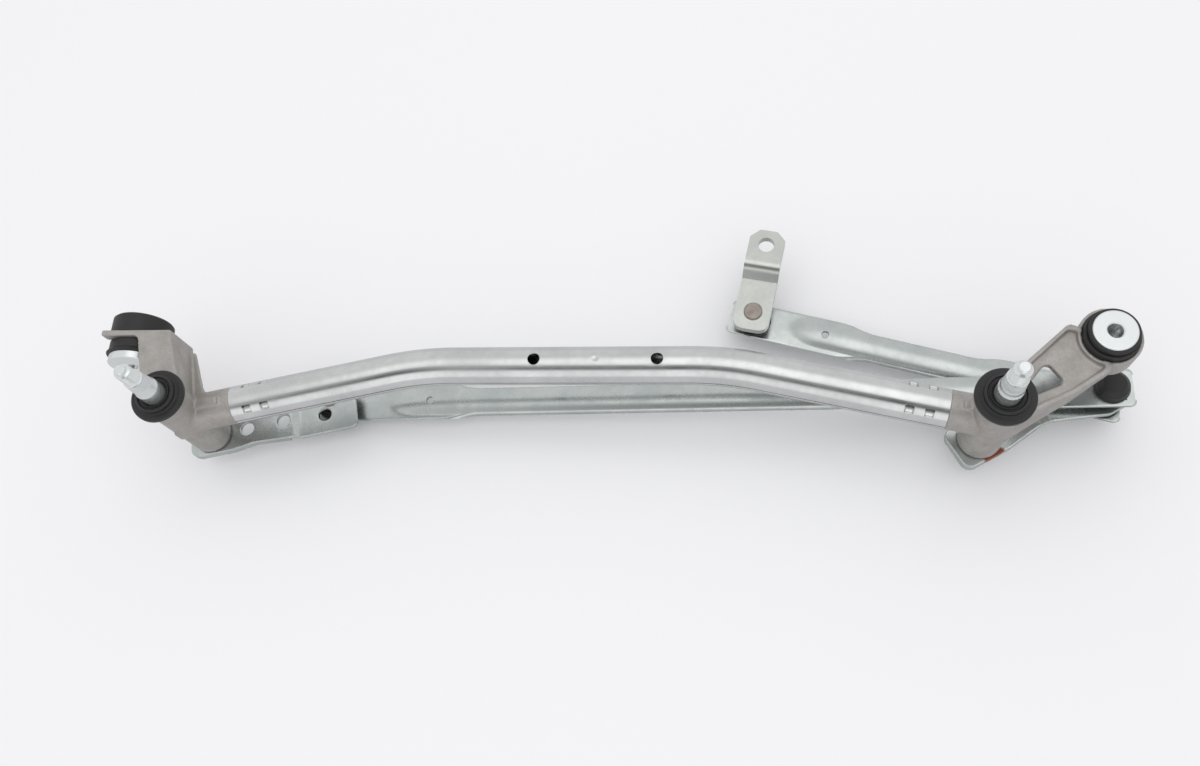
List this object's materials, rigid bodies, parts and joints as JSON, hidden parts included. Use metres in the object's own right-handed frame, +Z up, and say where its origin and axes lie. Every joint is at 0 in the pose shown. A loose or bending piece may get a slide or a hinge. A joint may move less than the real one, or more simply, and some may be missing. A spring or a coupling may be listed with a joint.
{
  "type": "wiper linkage",
  "caption": "Windscreen wiper linkage: bent tube frame with cast spindle housings, knurled wiper spindles with pressed levers, ball-jointed rods and a motor crank.",
  "frame": {"origin": "on the left spindle axis, at the top face of the left cap's flange", "axes": "+Z up along the spindles towards the wiper arms, +X from the left spindle to the right spindle, +Y away from the viewer of the picture"},
  "size_m": [0.6466, 0.1601, 0.1435],
  "materials": {
    "zinc_tube": "zinc plated tube, satin with long drawn streaks",
    "zinc_sheet": "zinc plated pressed sheet, satin with cloudy spangle",
    "white_zinc": "bright white zinc plate",
    "cast_alloy": "die-cast, fine matte grain",
    "rubber": "moulded black rubber, satin",
    "socket_plastic": "moulded black plastic",
    "rivet_steel": "bare riveted steel, dull tan",
    "spring_steel": "zinc plated spring steel",
    "bronze": "sintered bearing bronze"
  },
  "bodies": {
    "frame": {"frame_tube": "zinc_tube", "left_housing": "cast_alloy", "right_housing": "cast_alloy", "left_bush_rubber": "rubber", "left_bush_sleeve": "white_zinc", "right_bush_rubber": "rubber", "right_bush_sleeve": "white_zinc", "left_cap": "rubber", "right_cap": "rubber", "left_upper_bearing": "bronze", "left_lower_bearing": "bronze", "right_upper_bearing": "bronze", "right_lower_bearing": "bronze"},
    "left_drive": {"left_spindle": "white_zinc", "left_lever": "zinc_sheet", "left_ball_stud": "rivet_steel", "left_circlip": "spring_steel", "left_thrust_washer": "spring_steel", "left_lower_washer": "spring_steel"},
    "right_drive": {"right_spindle": "white_zinc", "right_lever": "zinc_sheet", "right_ball_stud": "rivet_steel", "right_circlip": "spring_steel", "right_thrust_washer": "spring_steel", "right_lower_washer": "spring_steel"},
    "long_rod": {"long_rod": "zinc_sheet", "long_rod_left_socket": "socket_plastic", "long_rod_right_socket": "socket_plastic"},
    "drive_rod": {"drive_rod": "zinc_sheet", "drive_rod_crank_socket": "socket_plastic", "drive_rod_lever_socket": "socket_plastic"},
    "motor_crank": {"motor_crank": "white_zinc", "crank_ball_stud": "rivet_steel"}
  },
  "joints": [
    {"name": "right_spindle_turn", "type": "hinge", "parent": "frame", "child": "right_drive", "pos_m": [0.5, 0, 0], "axis": [0, 0, 1], "range_deg": [0, 68]},
    {"name": "left_spindle_turn", "type": "hinge", "parent": "frame", "child": "left_drive", "pos_m": [0, 0, 0], "axis": [0, 0, 1], "range_deg": [0, 68]},
    {"name": "long_rod_swing", "type": "hinge", "parent": "right_drive", "child": "long_rod", "pos_m": [0.57668, 0.02791, -0.0616], "axis": [0, 0, 1], "range_deg": [-68, 0]},
    {"name": "drive_rod_swing", "type": "hinge", "parent": "right_drive", "child": "drive_rod", "pos_m": [0.57668, 0.02791, -0.084], "axis": [0, 0, 1], "range_deg": [-68, 0]},
    {"name": "motor_crank_turn", "type": "hinge", "parent": "drive_rod", "child": "motor_crank", "pos_m": [0.36321, 0.08511, -0.084], "axis": [0, 0, 1], "range_deg": [-120, 120]}
  ],
  "couplings": [
    {"joint": "left_spindle_turn", "follows": "right_spindle_turn", "ratio": 1},
    {"joint": "long_rod_swing", "follows": "right_spindle_turn", "ratio": -1},
    {"joint": "drive_rod_swing", "follows": "right_spindle_turn", "ratio": -1}
  ]
}
